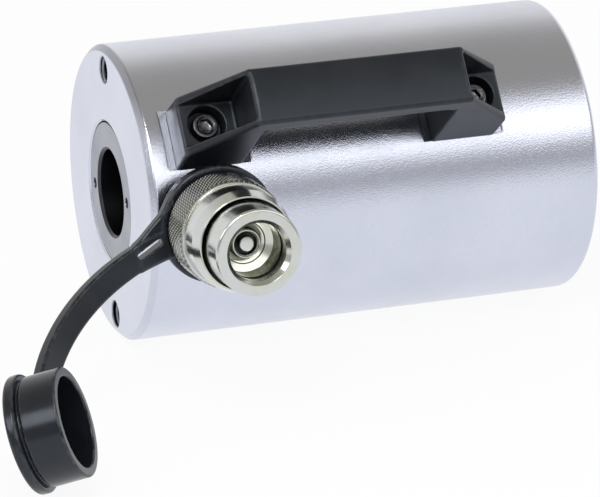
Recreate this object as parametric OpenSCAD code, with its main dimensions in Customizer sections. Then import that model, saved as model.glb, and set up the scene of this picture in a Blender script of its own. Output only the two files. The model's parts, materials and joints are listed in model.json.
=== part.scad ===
// Hollow plunger cylinder, lying on its round side with its dust cap on the floor.
// Millimetres. The origin is the centre of the base face, on the axis of the centre hole.
// +X runs along that axis from the base to the plunger end, and +Z is up.
// A turn is an angle about X, counted from +Z towards -Y.

/* [Body] */
// Outside diameter of the body
body_d = 114; // [110:1:120]
// Length of the body, base face to plunger end
body_len = 179; // [175:1:195]
// Bore of the barrel
barrel_d = 88; // [86:0.5:90]
// Thickness of the closed base
base_t = 15; // [14:0.5:17]
// Radius of the edge round the base face
base_edge = 3; // [1:0.5:4]
// Radius of the edge at the plunger end
end_edge = 2.5; // [1:0.5:4]

/* [Base bolt holes] */
// Diameter of the circle that the two holes lie on
bolt_circle = 96; // [92:1:98]
// Hole diameter
bolt_d = 10; // [8:0.5:11]
// Hole depth
bolt_depth = 12; // [8:0.5:12.5]
// Turn of the first hole
bolt_turn = -6.4; // [-20:0.1:10]

/* [Centre tube] */
// Diameter of the centre hole
hole_d = 33.3; // [28:0.1:34]
// Outside diameter of the tube
tube_d = 43; // [41:0.5:44]
// Diameter of the screwed head in the base
head_d = 54.6; // [52:0.2:58]
// Thickness of the head
head_t = 8; // [6:0.5:8.5]
// Depth of the head below the base face
head_sink = 0.5; // [0.2:0.1:1]
// Diameter of the two spanner holes
spanner_d = 4; // [3:0.5:4.5]
// Turn of the first spanner hole
spanner_turn = 81.8; // [60:0.1:120]

/* [Plunger] */
// Diameter of the plunger
plunger_d = 63.5; // [62:0.5:65]
// Working stroke
stroke = 64; // [50:1:64]
// Length of the piston
piston_len = 32; // [32:0.5:36]
// Length of the saddle that stands past the body
saddle_proud = 2; // [0.5:0.5:6]
// Wire of the return spring, as a share of the room beside the stop skirt
spring_fill = 0.75; // [0.6:0.01:0.77]
// Open coils of the return spring
spring_coils = 3.5; // [2.5:0.5:3.5]

/* [Handle] */
// Turn of the handle
handle_turn = 52.2; // [45:0.1:54]
// Distance of the handle's middle from the base face
handle_x = 74.5; // [74:0.5:78]
// Length of the handle
handle_len = 126.4; // [120:0.2:130]
// Width of a foot
handle_w = 24; // [22:0.5:26]
// Height of the bar's top over the flats
handle_h = 41.7; // [36:0.1:44]
// Thickness of the bar
bar_t = 8.5; // [7:0.1:11]
// Distance of a screw from the handle's end
screw_inset = 10.2; // [9.8:0.1:12]

/* [Coupler] */
// Turn of the coupler
coupler_turn = 83.4; // [82:0.1:95]
// Distance of the coupler's axis from the base face
coupler_x = 22.2; // [21:0.1:24]
// Distance of the coupler's front face from the body's axis
coupler_reach = 115; // [114:0.5:120]
// Diameter of the nose
nose_d = 32.4; // [31:0.1:33]
// Diameter of the mouth
mouth_d = 21.4; // [20.5:0.1:22]
// Diameter over the knurl
knurl_d = 41.4; // [39:0.1:42]
// Width of the knurled band
knurl_w = 15.7; // [12:0.1:17]

/* [Dust cap] */
// Angle of the strap below the line of the body, seen along the coupler
strap_turn = 12.7; // [5:0.1:20]
// Lean of the strap's bend towards the floor
strap_lean = 32.8; // [25:0.1:38]
// Width of the strap
strap_w = 10; // [9:0.5:13]
// Thickness of the strap
strap_t = 4.6; // [3:0.1:4.8]
// Bending radius of the strap
strap_bend_r = 87.6; // [84:0.1:95]
// Bending angle of the strap
strap_bend = 67.8; // [60:0.1:69]
// Roll of the cap about the strap's end
cap_roll = -14.1; // [-20:0.1:-5]
// Pitch of the cap about the strap's end
cap_pitch = -1.6; // [-8:0.1:8]
// Turn of the cap's middle away from the strap's end
cap_slew = -29.2; // [-35:0.1:-15]
// Diameter of the cap's flange
flange_d = 43.2; // [41:0.2:46]
// Outside diameter of the cap's barrel
cap_d = 40; // [39:0.2:41]
// Depth of the cap over the flange
cap_len = 15.2; // [12:0.1:18]

/* [Hidden] */
$fn = 96;

// Clearances
gap = 0.3;
slip = 0.1;

// Body
body_r = body_d / 2;
barrel_r = barrel_d / 2;
gland_r = barrel_r + 2;
gland_len = 24;
gland_x = body_len - gland_len;
mouth_chamfer = 0.8;
bolt_sink = 0.5;

// Centre tube and its seal
hole_r = hole_d / 2;
tube_r = tube_d / 2;
head_r = head_d / 2;
head_x = head_sink + head_t;
tube_short = 21;
tube_top = body_len - tube_short;
spanner_depth = 4.5;
spanner_circle_r = (hole_r + head_r) / 2 - 0.6;
seal_section = 2.4;
seal_x = (head_x + base_t) / 2;

// Piston and plunger
plunger_r = plunger_d / 2;
piston_x = base_t + 0.5;
piston_top = piston_x + piston_len;
piston_r = barrel_r - 0.2;
piston_foot_r = barrel_r - 4;
piston_foot_len = 11.5;
seal_depth = 5.2;
seal_len = 5.4;
backup_len = 2.3;
wear_depth = 1.6;
wear_len = 6;
groove_x = piston_x + piston_foot_len + 2;
wear_x = groove_x + seal_len + backup_len + 2.6;
inner_r = tube_r + 0.25;
inner_seal_depth = 3.8;
inner_wear_depth = 1.6;
rod_hole_r = tube_r + 0.7;
rod_top = body_len - 3.5;
boss_r = rod_hole_r + 3.8;
boss_len = 12;

// Gland nut, its bearing and wiper
gland_top = body_len - 0.7;
gland_hole_r = plunger_r + 0.55;
skirt_share = 0.29;
skirt_r = gland_hole_r + skirt_share * (barrel_r - gland_hole_r);
skirt_x = piston_top + stroke + gap;
spring_wire = spring_fill * (barrel_r - skirt_r);
bearing_from = 5;
bearing_x = gland_x + bearing_from;
bearing_len = 8;
bearing_depth = 1.7;
wiper_from = 16;
wiper_x = gland_x + wiper_from;
wiper_len = 5;
wiper_depth = 3.2;

// Handle
flat_n = sqrt(pow(body_r, 2) - pow(handle_w / 2, 2)) + 0.05;
foot_len = 25.8;
flat_over = 3.1;
bar_inset = 22;
bar_half = handle_len / 2 - bar_inset;
foot_h = 15.1;
handle_wall = 3;
handle_draft = 1;
handle_edge = 2;
handle_corner = 2.2;
finger_r = 5;
screw_r = 3;
screw_pitch = handle_len - 2 * screw_inset;
screw_floor = 7.5;
screw_seat = flat_n + screw_floor;
screw_depth = 8;
head_hole_r = 7.2;
screw_head_r = 5;
screw_head_h = 6;
hex_socket = 5;

// Coupler, by distance from the body's axis
port_r = 8.5;
port_depth = 10;
port_passage_r = 3;
spot_r = 15;
spot_h = body_r - 1;
washer_t = 1.5;
hex_h = spot_h + washer_t;
hex_t = 5;
hex_flats = 27;
neck_r = 12;
neck_h = hex_h + hex_t;
neck_len = 6.7;
stop_h = neck_h + neck_len;
stop_t = 0.8;
valve_h = stop_h + stop_t;
valve_len = coupler_reach - valve_h;
nose_r = nose_d / 2;
valve_r = nose_r - 1.6;
spigot_r = 10;
spigot_len = valve_len * 2 / 15;
chamber_r = spigot_r - 0.2;
collar_h = valve_h + gap;
nose_h = coupler_reach - valve_len * 11 / 30;
collar_gap = 1.5;
collar_floor = nose_h - collar_gap;
collar_lip = 2.3;
collar_top = nose_h + collar_lip;
collar_step = 1.5;
collar_r = knurl_d / 2 - collar_step;
lip_r = nose_r + 0.9;
lip_wall = 0.6;
seat_r = 8;
seat_h = coupler_reach - valve_len * 2 / 5;
funnel_h = seat_h + 2.4;
mouth_r = mouth_d / 2;
mouth_end_h = seat_h + 4.2;
mouth_floor_r = mouth_r - 0.2;
mouth_groove_h = coupler_reach - valve_len / 6;
mouth_groove_w = 2.4;
mouth_groove_depth = 2.4;
guide_h = valve_h + spigot_len + 0.2;
guide_t = valve_len / 16;
stem_r = 3;
pin_r = 2.75;
pin_well_r = 4.2;
pin_well_depth = 1.2;
cone_base_r = chamber_r - 0.5;
cone_h = seat_h - (cone_base_r - seat_r) - 0.42;
poppet_boss_r = 5.3;
poppet_head_t = valve_len / 9;
poppet_back = cone_h - poppet_head_t;
poppet_wire = valve_len / 37.5;

// Dust cap
ring_r = 22.3;
ring_t = 5;
ring_h = neck_h + 0.7;
ring_mid = ring_h + ring_t / 2;
strap_from = 10;
strap_bite = 2.4;
root_upper = 14;
root_lower = 6;
root_from = 15;
root_to = 33;
root_drift = 1.6;
root_bend = 18;
slot_w = 2.5;
slot_len = 11;
slot_x = 28;
slot_y = -0.4;
slot_turn = 15.3;
flange_r = flange_d / 2;
flange_t = 4;
flange_bite = 0.5;
cap_r = cap_d / 2;
cap_hole_r = nose_r + gap;
cap_floor = 0.6;
cap_top = flange_t / 2 + cap_len;
cap_groove = 1.3;

// Shared helpers

// Turns an outline of [radius, distance along X] about the body's axis.
module about_axis() {
    rotate([0, 90, 0]) rotate_extrude() children();
}

// Stands children up along the outward line at a turn, at a distance along the body.
module outward(turn, x) {
    rotate([turn, 0, 0]) translate([x, 0, 0]) children();
}

module on_coupler() {
    outward(coupler_turn, coupler_x) children();
}

// Outline of a plain ring, from two radii and two distances.
module ring_outline(r0, r1, x0, x1) {
    polygon([[r0, x0], [r1, x0], [r1, x1], [r0, x1]]);
}

// Outline of a ring whose two outer corners are round.
module round_ring_outline(r0, r1, x0, x1, edge0, edge1) {
    polygon([[r0, x0], [r1 - edge0, x0], [r1 - edge0, x0 + edge0], [r1, x0 + edge0],
        [r1, x1 - edge1], [r1 - edge1, x1 - edge1], [r1 - edge1, x1], [r0, x1]]);
    translate([r1 - edge0, x0 + edge0]) circle(r = edge0);
    translate([r1 - edge1, x1 - edge1]) circle(r = edge1);
}

// Height along a spring at a number of turns, with one closed turn at each end.
function spring_height(t, coils, length, wire) =
    let (closed = wire + 0.2, open = (length - wire - 2 * closed) / coils)
    wire / 2 + (t < 1 ? closed * t
        : t < 1 + coils ? closed + open * (t - 1)
        : closed + open * coils + closed * (t - 1 - coils));

// Wire coil standing on z = 0.
module coil(mean_r, wire, coils, length, steps, sides) {
    rings = floor((coils + 2) * steps);
    points = [for (i = [0:rings], j = [0:sides - 1])
        let (t = i / steps, a = 360 * t, b = 360 * j / sides,
            r = mean_r + wire / 2 * cos(b))
        [r * cos(a), r * sin(a),
            spring_height(t, coils, length, wire) + wire / 2 * sin(b)]];
    skin = [for (i = [0:rings - 1], j = [0:sides - 1], half = [0, 1])
        let (k = (j + 1) % sides, p = i * sides, q = p + sides)
        half == 0 ? [p + j, q + j, q + k] : [p + j, q + k, p + k]];
    ends = [[for (j = [0:sides - 1]) j],
        [for (j = [sides - 1:-1:0]) rings * sides + j]];
    polyhedron(points, concat(skin, ends));
}

// Body and centre tube

module bolt_holes() {
    for (turn = [bolt_turn, bolt_turn + 180])
        rotate([turn, 0, 0]) translate([0, 0, bolt_circle / 2]) rotate([0, 90, 0]) {
            translate([0, 0, -1]) cylinder(d = bolt_d, h = bolt_depth + 1);
            translate([0, 0, -bolt_sink])
                cylinder(d1 = bolt_d + 4 * bolt_sink, d2 = bolt_d, h = 2 * bolt_sink);
        }
}

module handle_seats() {
    seat_len = foot_len + 2 * flat_over;
    for (side = [-1, 1]) outward(handle_turn, handle_x) {
        translate([side * (handle_len - foot_len) / 2 - seat_len / 2, -body_r / 2, flat_n])
            cube([seat_len, body_r, body_r]);
        translate([side * screw_pitch / 2, 0, flat_n - screw_depth - 0.5])
            cylinder(r = screw_r + 0.05, h = body_r);
    }
}

module port() {
    on_coupler() {
        translate([0, 0, body_r - port_depth]) cylinder(r = port_r, h = 2 * port_depth);
        translate([0, 0, barrel_r - 2]) cylinder(r = port_passage_r, h = port_depth);
        translate([0, 0, spot_h]) cylinder(r = spot_r, h = port_depth);
    }
}

// The space inside the body: head recess, tube hole with seal groove, barrel and gland thread.
module body_hollow() {
    recess = head_r + gap;
    tube_hole = tube_r + 0.05;
    groove_r = tube_hole + seal_section;
    groove_half = seal_section / 2 + slip;
    polygon([[hole_r / 2, -1], [recess + 1 + mouth_chamfer, -1], [recess, mouth_chamfer],
        [recess, head_x], [tube_hole, head_x],
        [tube_hole, seal_x - groove_half], [groove_r, seal_x - groove_half],
        [groove_r, seal_x + groove_half], [tube_hole, seal_x + groove_half],
        [tube_hole, base_t], [barrel_r, base_t], [barrel_r, gland_x], [gland_r, gland_x],
        [gland_r, body_len - mouth_chamfer], [gland_r + 1 + mouth_chamfer, body_len + 1],
        [hole_r / 2, body_len + 1]]);
}

module cylinder_body() {
    color([0.78, 0.79, 0.83]) difference() {
        about_axis() difference() {
            round_ring_outline(hole_r, body_r, 0, body_len, base_edge, end_edge);
            body_hollow();
        }
        bolt_holes();
        handle_seats();
        port();
    }
}

module center_tube() {
    chamfer = 0.7;
    color([0.62, 0.64, 0.68]) difference() {
        about_axis() polygon([[hole_r, head_sink + chamfer], [hole_r + chamfer, head_sink],
            [head_r - chamfer, head_sink], [head_r, head_sink + chamfer],
            [head_r, head_x], [tube_r, head_x], [tube_r, tube_top - chamfer],
            [tube_r - chamfer, tube_top], [hole_r, tube_top]]);
        for (turn = [spanner_turn, spanner_turn + 180])
            rotate([turn, 0, 0]) translate([head_sink - 1, 0, spanner_circle_r])
                rotate([0, 90, 0]) cylinder(d = spanner_d, h = spanner_depth + 1);
    }
}

module tube_seal() {
    color([0.08, 0.08, 0.08]) about_axis()
        translate([tube_r + seal_section / 2 + 0.05, seal_x]) circle(d = seal_section - slip);
}

// Plunger and what rides on it

module plunger() {
    groove_end = groove_x + seal_len + backup_len + 3 * slip;
    wear_end = wear_x + wear_len + 2 * slip;
    inner_end = groove_x + seal_len + 2 * slip;
    color([0.72, 0.72, 0.74]) about_axis() polygon([
        [inner_r, piston_x], [piston_foot_r, piston_x],
        [piston_foot_r, piston_x + piston_foot_len], [piston_r, piston_x + piston_foot_len],
        [piston_r, groove_x], [piston_r - seal_depth, groove_x],
        [piston_r - seal_depth, groove_end], [piston_r, groove_end],
        [piston_r, wear_x], [piston_r - wear_depth, wear_x],
        [piston_r - wear_depth, wear_end], [piston_r, wear_end],
        [piston_r, piston_top], [plunger_r, piston_top],
        [plunger_r, rod_top - 1], [plunger_r - 1, rod_top],
        [boss_r + 0.05, rod_top], [boss_r + 0.05, rod_top - boss_len],
        [rod_hole_r, rod_top - boss_len], [rod_hole_r, piston_top], [inner_r, piston_top],
        [inner_r, wear_end], [inner_r + inner_wear_depth, wear_end],
        [inner_r + inner_wear_depth, wear_x], [inner_r, wear_x],
        [inner_r, inner_end], [inner_r + inner_seal_depth, inner_end],
        [inner_r + inner_seal_depth, groove_x], [inner_r, groove_x]]);
}

// Lip seal outline: a block with a notch in the face that the oil presses on.
module lip_seal(r0, r1, x0, x1) {
    third = (r1 - r0) / 3;
    color([0.12, 0.2, 0.3]) about_axis()
        polygon([[r0, x0], [r0 + third, x0], [(r0 + r1) / 2, x0 + third], [r1 - third, x0],
            [r1, x0], [r1, x1], [r0, x1]]);
}

module piston_seal() {
    lip_seal(piston_r - seal_depth + 0.05, barrel_r - slip, groove_x + slip,
        groove_x + slip + seal_len);
}

module piston_backup_ring() {
    start = groove_x + 2 * slip + seal_len;
    color([0.85, 0.84, 0.78]) about_axis() ring_outline(piston_r - seal_depth + 0.05,
        barrel_r - slip, start, start + backup_len);
}

module piston_wear_ring() {
    color([0.35, 0.22, 0.12]) about_axis() ring_outline(piston_r - wear_depth + 0.05,
        barrel_r - slip, wear_x + slip, wear_x + slip + wear_len);
}

module inner_seal() {
    lip_seal(tube_r + slip, inner_r + inner_seal_depth - 0.05, groove_x + slip,
        groove_x + slip + seal_len);
}

module inner_wear_ring() {
    color([0.35, 0.22, 0.12]) about_axis() ring_outline(tube_r + slip,
        inner_r + inner_wear_depth - 0.05, wear_x + slip, wear_x + slip + wear_len);
}

module saddle() {
    top = body_len + saddle_proud;
    bore_r = hole_r + 0.4;
    rim_r = plunger_r - 0.8;
    chamfer = 0.8;
    groove = 1;
    mid_r = (bore_r + rim_r) / 2;
    color([0.42, 0.42, 0.44]) about_axis() polygon([
        [bore_r, rod_top - boss_len + gap], [boss_r, rod_top - boss_len + gap],
        [boss_r, rod_top], [rim_r, rod_top], [rim_r, top - chamfer], [rim_r - chamfer, top],
        [mid_r + groove, top], [mid_r, top - groove], [mid_r - groove, top],
        [bore_r + chamfer, top], [bore_r, top - chamfer]]);
}

module return_spring() {
    mean_r = (skirt_r + barrel_r) / 2;
    start = piston_top + gap;
    color([0.3, 0.31, 0.33]) translate([start, 0, 0]) rotate([0, 90, 0])
        coil(mean_r, spring_wire, spring_coils, gland_x - gap - start, 24, 12);
}

// Gland

module gland_nut() {
    pin_holes = 4;
    pin_hole_d = 5;
    pin_hole_depth = 6;
    pin_circle_r = gland_r - 5.4;
    bearing_end = bearing_x + bearing_len + 2 * slip;
    wiper_end = wiper_x + wiper_len + 2 * slip;
    color([0.5, 0.51, 0.54]) difference() {
        about_axis() polygon([
            [gland_hole_r, skirt_x], [skirt_r, skirt_x], [skirt_r, gland_x],
            [gland_r - 0.1, gland_x], [gland_r - 0.1, gland_top - 1], [gland_r - 1.1, gland_top],
            [gland_hole_r, gland_top], [gland_hole_r, wiper_end],
            [gland_hole_r + wiper_depth, wiper_end], [gland_hole_r + wiper_depth, wiper_x],
            [gland_hole_r, wiper_x], [gland_hole_r, bearing_end],
            [gland_hole_r + bearing_depth, bearing_end],
            [gland_hole_r + bearing_depth, bearing_x], [gland_hole_r, bearing_x]]);
        for (i = [0:pin_holes - 1])
            rotate([45 + 360 * i / pin_holes, 0, 0])
                translate([gland_top - pin_hole_depth, 0, pin_circle_r])
                    rotate([0, 90, 0]) cylinder(d = pin_hole_d, h = 2 * pin_hole_depth);
    }
}

module gland_bearing() {
    color([0.55, 0.42, 0.2]) about_axis() ring_outline(plunger_r + slip,
        gland_hole_r + bearing_depth - 0.05, bearing_x + slip, bearing_x + slip + bearing_len);
}

module plunger_wiper() {
    start = wiper_x + slip;
    lip = plunger_r + slip;
    back = gland_hole_r + wiper_depth - 0.05;
    color([0.1, 0.1, 0.1]) about_axis() polygon([[lip + 1, start], [back, start],
        [back, start + wiper_len], [lip + 1.6, start + wiper_len],
        [lip, start + wiper_len - 0.6], [lip + 1, start + 1.6]]);
}

// Handle and its screws

module handle_side() {
    half = handle_len / 2;
    inside = half - foot_len;
    under = flat_n + handle_h - bar_t;
    difference() {
        polygon([[-half, flat_n], [half, flat_n], [half, flat_n + foot_h],
            [bar_half, flat_n + handle_h], [-bar_half, flat_n + handle_h],
            [-half, flat_n + foot_h]]);
        translate([-inside, flat_n - 1]) square([2 * inside, under - finger_r - flat_n + 1]);
        translate([finger_r - inside, flat_n - 1])
            square([2 * (inside - finger_r), under - flat_n + 1]);
        for (side = [-1, 1])
            translate([side * (inside - finger_r), under - finger_r]) circle(r = finger_r);
    }
}

module handle_section() {
    top = flat_n + handle_h;
    foot = handle_w / 2;
    head = foot - handle_draft;
    polygon([[-foot, flat_n], [foot, flat_n], [head, top - handle_edge],
        [head - handle_edge, top], [handle_edge - head, top], [-head, top - handle_edge]]);
    for (side = [-1, 1])
        translate([side * (head - handle_edge), top - handle_edge]) circle(r = handle_edge);
}

// Outline from above, with round corners at the two ends.
module handle_plan() {
    x = handle_len / 2 - handle_corner;
    y = handle_w / 2 - handle_corner;
    square([2 * x, handle_w], center = true);
    square([handle_len, 2 * y], center = true);
    for (end = [-x, x], side = [-y, y])
        translate([end, side]) circle(r = handle_corner);
}

module handle() {
    pocket_w = handle_w - 2 * handle_draft - 2 * handle_wall;
    color([0.05, 0.05, 0.06]) outward(handle_turn, handle_x) difference() {
        intersection() {
            rotate([90, 0, 0]) translate([0, 0, -handle_w])
                linear_extrude(2 * handle_w) handle_side();
            rotate([90, 0, 90]) translate([0, 0, -handle_len])
                linear_extrude(2 * handle_len) handle_section();
            linear_extrude(flat_n + 2 * handle_h) handle_plan();
        }
        for (side = [-1, 1]) {
            translate([side * (bar_half + 0.5 + handle_len / 2) - handle_len / 2,
                -pocket_w / 2, flat_n + foot_h - 0.4])
                cube([handle_len, pocket_w, handle_h]);
            translate([side * screw_pitch / 2, 0, screw_seat])
                cylinder(r = head_hole_r, h = handle_h);
            translate([side * screw_pitch / 2, 0, flat_n - 1])
                cylinder(r = screw_r + gap, h = handle_h);
        }
    }
}

module handle_screw(side) {
    top = screw_seat + screw_head_h;
    chamfer = 0.6;
    socket_depth = 3;
    color([0.2, 0.2, 0.21]) outward(handle_turn, handle_x + side * screw_pitch / 2)
        difference() {
            rotate_extrude() polygon([[0, flat_n - screw_depth],
                [screw_r - chamfer, flat_n - screw_depth],
                [screw_r, flat_n - screw_depth + chamfer], [screw_r, screw_seat],
                [screw_head_r, screw_seat], [screw_head_r, top - chamfer],
                [screw_head_r - chamfer, top], [0, top]]);
            translate([0, 0, top - socket_depth])
                cylinder(d = hex_socket / cos(30), h = 2 * socket_depth, $fn = 6);
        }
}

module handle_screw_base() {
    handle_screw(-1);
}

module handle_screw_end() {
    handle_screw(1);
}

// Coupler

module port_seal() {
    color([0.55, 0.45, 0.25]) on_coupler()
        rotate_extrude() ring_outline(port_r + 0.1, hex_flats / 2, spot_h, spot_h + washer_t);
}

module coupler_adapter() {
    passage = 4;
    thread_r = port_r - 0.05;
    foot = body_r - port_depth + 0.5;
    color([0.66, 0.66, 0.62]) on_coupler() difference() {
        union() {
            rotate_extrude() polygon([[passage, foot], [thread_r - 1, foot],
                [thread_r, foot + 1], [thread_r, hex_h], [neck_r, hex_h],
                [neck_r, stop_h], [spigot_r, stop_h],
                [spigot_r, valve_h + spigot_len], [passage, valve_h + spigot_len]]);
            translate([0, 0, hex_h]) cylinder(d = hex_flats / cos(30), h = hex_t, $fn = 6);
        }
        translate([0, 0, foot - 1]) cylinder(r = passage, h = coupler_reach);
    }
}

module collar_washer() {
    color([0.6, 0.6, 0.58]) on_coupler()
        rotate_extrude() ring_outline(spigot_r + 0.05, valve_r + 3, stop_h, valve_h);
}

module coupler_body() {
    chamfer = 1.2;
    lead = 1.6;
    color([0.7, 0.7, 0.64]) on_coupler() rotate_extrude() polygon([
        [spigot_r + 0.05, valve_h], [valve_r, valve_h], [valve_r, nose_h], [nose_r, nose_h],
        [nose_r, coupler_reach - chamfer], [nose_r - chamfer, coupler_reach],
        [mouth_r + lead, coupler_reach], [mouth_r, coupler_reach - lead],
        [mouth_r, mouth_groove_h + mouth_groove_w],
        [mouth_r + mouth_groove_depth, mouth_groove_h + mouth_groove_w],
        [mouth_r + mouth_groove_depth, mouth_groove_h], [mouth_r, mouth_groove_h],
        [mouth_r, mouth_end_h], [mouth_floor_r, mouth_end_h], [mouth_floor_r, funnel_h],
        [seat_r, seat_h + 1], [seat_r, seat_h],
        [chamber_r, seat_h - chamber_r + seat_r],
        [chamber_r, guide_h], [spigot_r + 0.05, guide_h]]);
}

module coupler_collar() {
    bore = valve_r + slip;
    knurl_r = knurl_d / 2;
    edge = 0.6;
    bevel = 5.3;
    color([0.7, 0.7, 0.62]) on_coupler() rotate_extrude() polygon([
        [bore, collar_h], [knurl_r - edge, collar_h], [knurl_r, collar_h + edge],
        [knurl_r, collar_h + knurl_w - edge], [knurl_r - edge, collar_h + knurl_w],
        [collar_r, collar_h + knurl_w], [collar_r, collar_top - bevel],
        [lip_r + lip_wall, collar_top], [lip_r, collar_top], [lip_r, collar_floor],
        [bore, collar_floor]]);
}

module mouth_seal() {
    section = mouth_groove_w - 2 * slip;
    color([0.06, 0.06, 0.06]) on_coupler() rotate_extrude()
        translate([mouth_r + mouth_groove_depth - section / 2 - 0.05,
            mouth_groove_h + mouth_groove_w / 2]) circle(d = section);
}

module valve_guide() {
    ports = 5;
    port_d = 2.6;
    rim = chamber_r - 0.05;
    color([0.62, 0.56, 0.38]) on_coupler() difference() {
        rotate_extrude()
            ring_outline(stem_r + slip, rim, guide_h, guide_h + guide_t);
        for (i = [0:ports - 1]) rotate([0, 0, 360 * i / ports])
            translate([(stem_r + rim) / 2 + 0.4, 0, guide_h - 1])
                cylinder(d = port_d, h = guide_t + 2);
    }
}

module poppet() {
    cone_top = cone_h + cone_base_r - poppet_boss_r;
    boss_top = cone_top + 1;
    pin_top = boss_top + 0.4;
    well_floor = boss_top - pin_well_depth;
    stem_foot = guide_h - 2;
    color([0.68, 0.66, 0.6]) on_coupler() rotate_extrude() polygon([
        [0, stem_foot], [stem_r, stem_foot], [stem_r, poppet_back],
        [cone_base_r, poppet_back], [cone_base_r, cone_h], [poppet_boss_r, cone_top],
        [poppet_boss_r, boss_top - 0.4], [poppet_boss_r - 0.4, boss_top],
        [pin_well_r, boss_top], [pin_well_r, well_floor], [pin_r, well_floor],
        [pin_r, pin_top - 0.5], [pin_r - 0.5, pin_top], [0, pin_top]]);
}

module poppet_spring() {
    start = guide_h + guide_t + 0.05;
    mean_r = 5.4;
    coils = 3;
    color([0.5, 0.5, 0.5]) on_coupler() translate([0, 0, start])
        coil(mean_r, poppet_wire, coils, poppet_back - gap - start, 20, 8);
}

// Dust cap

// Frame of the strap's bend: its middle lies over the root, and the bend leans to one side.
module in_bend() {
    translate([strap_from, 0, ring_mid]) rotate([-strap_lean, 0, 0])
        translate([0, 0, strap_bend_r]) children();
}

// Frame of the cap at the strap's end: Z goes along the cap to its opening.
module at_cap() {
    in_bend() rotate([0, -strap_bend, 0]) translate([0, 0, -strap_bend_r])
        rotate([strap_lean, 0, 0]) rotate([cap_roll, cap_pitch, 0])
            rotate([0, 0, cap_slew]) translate([flange_r - flange_bite, 0, 0]) children();
}

// Strip along the bend, from one bending angle to another, flat at the root.
module strip(thick, width, from, to) {
    in_bend() rotate([90, 0, 0]) rotate([0, 0, from - 90]) rotate_extrude(angle = to - from)
        translate([strap_bend_r, 0]) rotate([0, 0, -strap_lean])
            square([thick, width], center = true);
}

module root_outline() {
    polygon([[0, -root_upper], [root_from, -root_upper],
        [root_to, root_drift - strap_w / 2], [root_to, root_drift + strap_w / 2],
        [root_from, root_lower], [0, root_lower]]);
}

module strap() {
    translate([0, 0, ring_h]) cylinder(r = ring_r, h = ring_t);
    strip(strap_t, strap_w, 0, strap_bend + strap_bite);
    intersection() {
        strip(strap_t, 4 * root_upper, 0, root_bend);
        translate([0, 0, ring_h - ring_t]) linear_extrude(4 * ring_t) root_outline();
    }
}

module cap_outline() {
    waist = cap_r - 1.2;
    edge = 1;
    rim_edge = 0.5;
    polygon([[0, -flange_t / 2], [flange_r - edge, -flange_t / 2],
        [flange_r, edge - flange_t / 2], [flange_r, flange_t / 2 - edge],
        [flange_r - edge, flange_t / 2], [waist, flange_t / 2],
        [waist, flange_t / 2 + cap_groove], [cap_r, flange_t / 2 + cap_groove],
        [cap_r, cap_top - rim_edge], [cap_r - rim_edge, cap_top], [0, cap_top]]);
}

module dust_cap() {
    color([0.05, 0.05, 0.05]) on_coupler() rotate([0, 0, 180 + strap_turn]) difference() {
        union() {
            strap();
            at_cap() rotate_extrude() cap_outline();
        }
        translate([slot_x, slot_y, ring_h - ring_t]) rotate([0, 0, slot_turn])
            translate([-slot_len / 2, -slot_w / 2, 0])
                cube([slot_len, slot_w, 4 * ring_t]);
        translate([0, 0, ring_h - 1]) cylinder(r = neck_r + slip, h = ring_t + 2);
        at_cap() translate([0, 0, cap_floor]) cylinder(r = cap_hole_r, h = 2 * cap_len);
    }
}

cylinder_body();
center_tube();
tube_seal();
plunger();
piston_seal();
piston_backup_ring();
piston_wear_ring();
inner_seal();
inner_wear_ring();
saddle();
return_spring();
gland_nut();
gland_bearing();
plunger_wiper();
handle();
handle_screw_base();
handle_screw_end();
port_seal();
coupler_adapter();
collar_washer();
coupler_body();
coupler_collar();
mouth_seal();
valve_guide();
poppet();
poppet_spring();
dust_cap();
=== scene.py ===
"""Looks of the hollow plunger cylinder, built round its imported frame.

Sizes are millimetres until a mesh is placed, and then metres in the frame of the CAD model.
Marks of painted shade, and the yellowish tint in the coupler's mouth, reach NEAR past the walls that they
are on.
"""

import json
import math
from itertools import product

import bmesh
import bpy
import numpy as np
from mathutils import Matrix, Vector


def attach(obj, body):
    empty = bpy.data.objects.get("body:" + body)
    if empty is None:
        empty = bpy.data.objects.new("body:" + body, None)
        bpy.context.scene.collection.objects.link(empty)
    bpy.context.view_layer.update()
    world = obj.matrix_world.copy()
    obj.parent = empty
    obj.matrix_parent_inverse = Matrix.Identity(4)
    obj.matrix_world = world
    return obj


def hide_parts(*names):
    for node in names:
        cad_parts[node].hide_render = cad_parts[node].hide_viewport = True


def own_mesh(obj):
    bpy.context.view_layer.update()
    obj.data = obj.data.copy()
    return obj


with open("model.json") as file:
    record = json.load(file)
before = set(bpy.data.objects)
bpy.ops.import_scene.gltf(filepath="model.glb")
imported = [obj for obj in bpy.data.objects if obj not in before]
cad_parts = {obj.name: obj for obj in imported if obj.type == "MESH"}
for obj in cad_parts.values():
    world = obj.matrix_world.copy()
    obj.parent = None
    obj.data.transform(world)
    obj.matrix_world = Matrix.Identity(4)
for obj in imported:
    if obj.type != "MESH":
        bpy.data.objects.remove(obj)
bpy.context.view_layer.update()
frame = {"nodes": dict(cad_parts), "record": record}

MM = 0.001
WELD = 1e-7
NEAR = 0.05

# Sizes of the body
BODY_R = 57.0
BODY_LEN = 179.0
BARREL_R = 44.0
BASE_T = 15.0
GLAND_R = 46.0
GLAND_X = 155.0
BASE_EDGE = 2.3
END_EDGE = 2.5
BOLT_CIRCLE_R = 48.0
BOLT_R = 5.0
BOLT_DEPTH = 12.0
BOLT_TURNS = (-6.4, 173.6)
COUNTERSINK = 0.6
THREAD_PITCH = 1.5
THREAD_DEPTH = 0.75
MOUTH_CHAMFER = 0.8
# Height where the painted shade on the base edge starts to deepen, and over how far
EDGE_SHADE_FROM = 34.0
EDGE_SHADE_OVER = 14.0

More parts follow.
